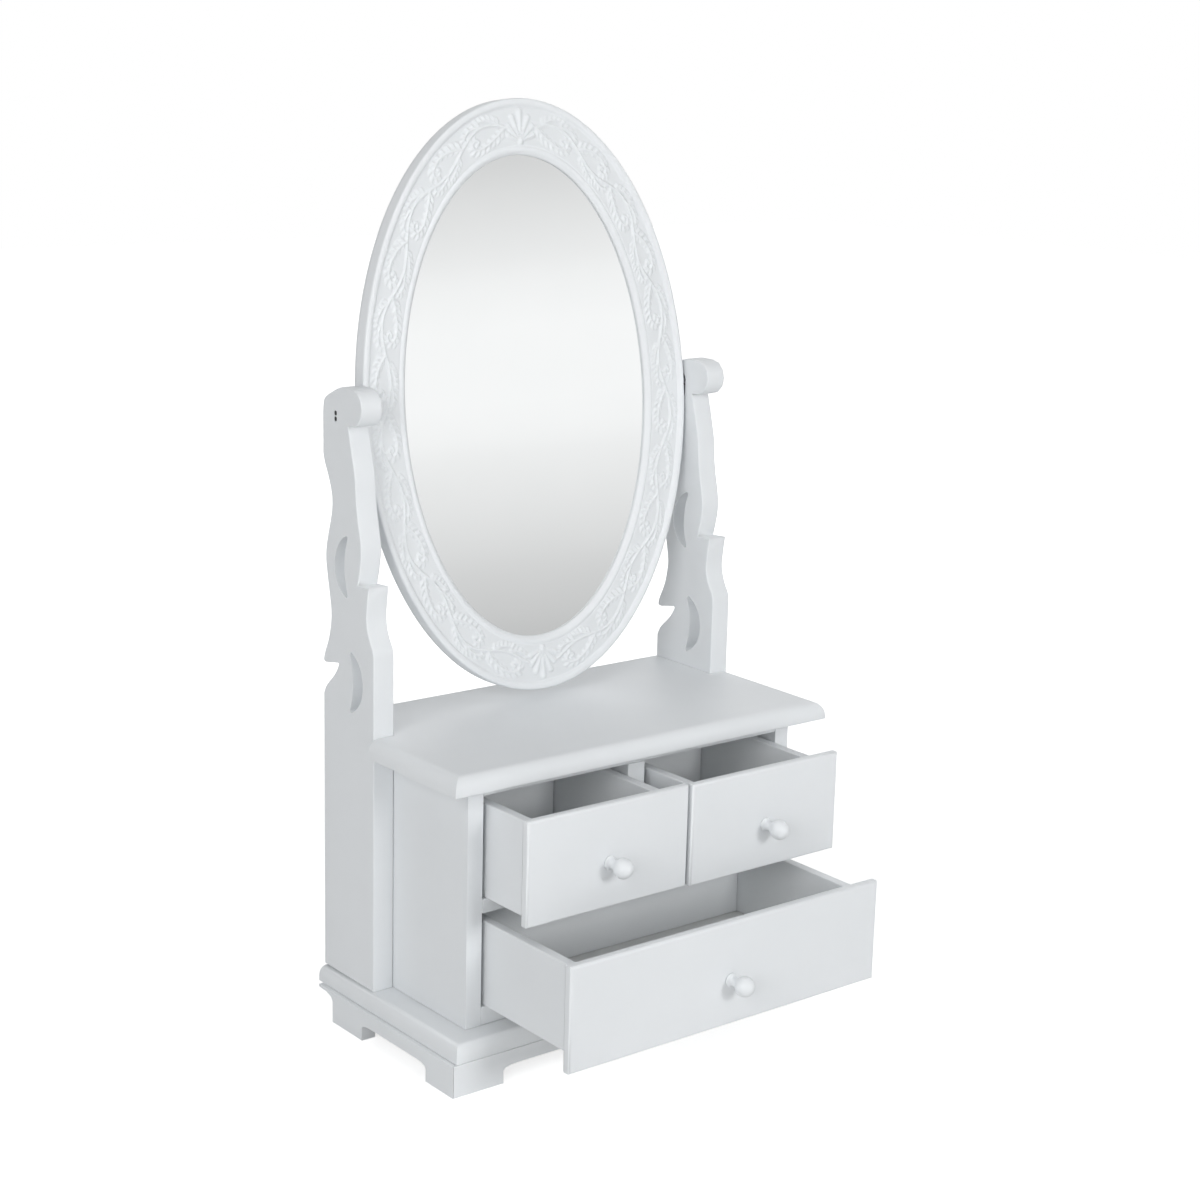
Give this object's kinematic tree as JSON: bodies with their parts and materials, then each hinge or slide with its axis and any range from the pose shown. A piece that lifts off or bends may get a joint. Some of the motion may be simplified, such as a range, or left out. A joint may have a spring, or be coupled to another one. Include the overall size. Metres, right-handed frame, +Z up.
{
  "type": "table-top dressing table",
  "caption": "Table-top dressing table: bracket feet, open drawers with ball knobs, notched top, shaped posts with crescent cut-outs, and an oval carved mirror that tilts between them.",
  "frame": {"origin": "on the floor under the middle of the carcass, halfway between its front and rear faces", "axes": "+X to the right seen from the front, +Y to the rear, +Z up"},
  "size_m": [0.404, 0.3495, 0.7839],
  "materials": {
    "white_paint": "white satin paint",
    "bare_board": "primed thin board",
    "steel": "zinc plated",
    "mirror_glass": "silvered glass"
  },
  "bodies": {
    "cabinet": {"apron_left": "white_paint", "apron_right": "white_paint", "back_panel": "bare_board", "base_board": "white_paint", "bottom_panel": "white_paint", "corner_block_front_left": "bare_board", "corner_block_front_right": "bare_board", "corner_block_rear_left": "bare_board", "corner_block_rear_right": "bare_board", "divider": "white_paint", "front_apron": "white_paint", "pivot_plate_left": "steel", "pivot_plate_right": "steel", "pivot_screw_lower_left": "steel", "pivot_screw_lower_right": "steel", "pivot_screw_upper_left": "steel", "pivot_screw_upper_right": "steel", "post_left": "white_paint", "post_right": "white_paint", "post_screw_lower_left": "steel", "post_screw_lower_right": "steel", "post_screw_upper_left": "steel", "post_screw_upper_right": "steel", "rear_rail": "bare_board", "shelf": "white_paint", "side_left": "white_paint", "side_right": "white_paint", "top_board": "white_paint", "top_rail": "white_paint"},
    "drawer_left": {"drawer_left_bottom": "bare_board", "drawer_left_front": "white_paint", "drawer_left_knob": "white_paint", "drawer_left_knob_screw": "steel", "drawer_left_wall_back": "white_paint", "drawer_left_wall_left": "white_paint", "drawer_left_wall_right": "white_paint"},
    "drawer_right": {"drawer_right_bottom": "bare_board", "drawer_right_front": "white_paint", "drawer_right_knob": "white_paint", "drawer_right_knob_screw": "steel", "drawer_right_wall_back": "white_paint", "drawer_right_wall_left": "white_paint", "drawer_right_wall_right": "white_paint"},
    "drawer_lower": {"drawer_lower_bottom": "bare_board", "drawer_lower_front": "white_paint", "drawer_lower_knob": "white_paint", "drawer_lower_knob_screw": "steel", "drawer_lower_wall_back": "white_paint", "drawer_lower_wall_left": "white_paint", "drawer_lower_wall_right": "white_paint"},
    "mirror": {"backing_board": "bare_board", "clip_lower_left": "steel", "clip_lower_right": "steel", "clip_upper_left": "steel", "clip_upper_right": "steel", "mirror_frame": "white_paint", "mirror_glass": "mirror_glass", "pivot_socket_left": "steel", "pivot_socket_right": "steel"}
  },
  "joints": [
    {"name": "drawer_left_slide", "type": "slide", "parent": "cabinet", "child": "drawer_left", "axis": [0, -1, 0], "range_m": [-0.061, 0.064]},
    {"name": "drawer_right_slide", "type": "slide", "parent": "cabinet", "child": "drawer_right", "axis": [0, -1, 0], "range_m": [-0.063, 0.062]},
    {"name": "drawer_lower_slide", "type": "slide", "parent": "cabinet", "child": "drawer_lower", "axis": [0, -1, 0], "range_m": [-0.119, 0.006]},
    {"name": "mirror_tilt", "type": "hinge", "parent": "cabinet", "child": "mirror", "pos_m": [0, 0.0698, 0.5295], "axis": [1, 0, 0], "continuous": true}
  ]
}
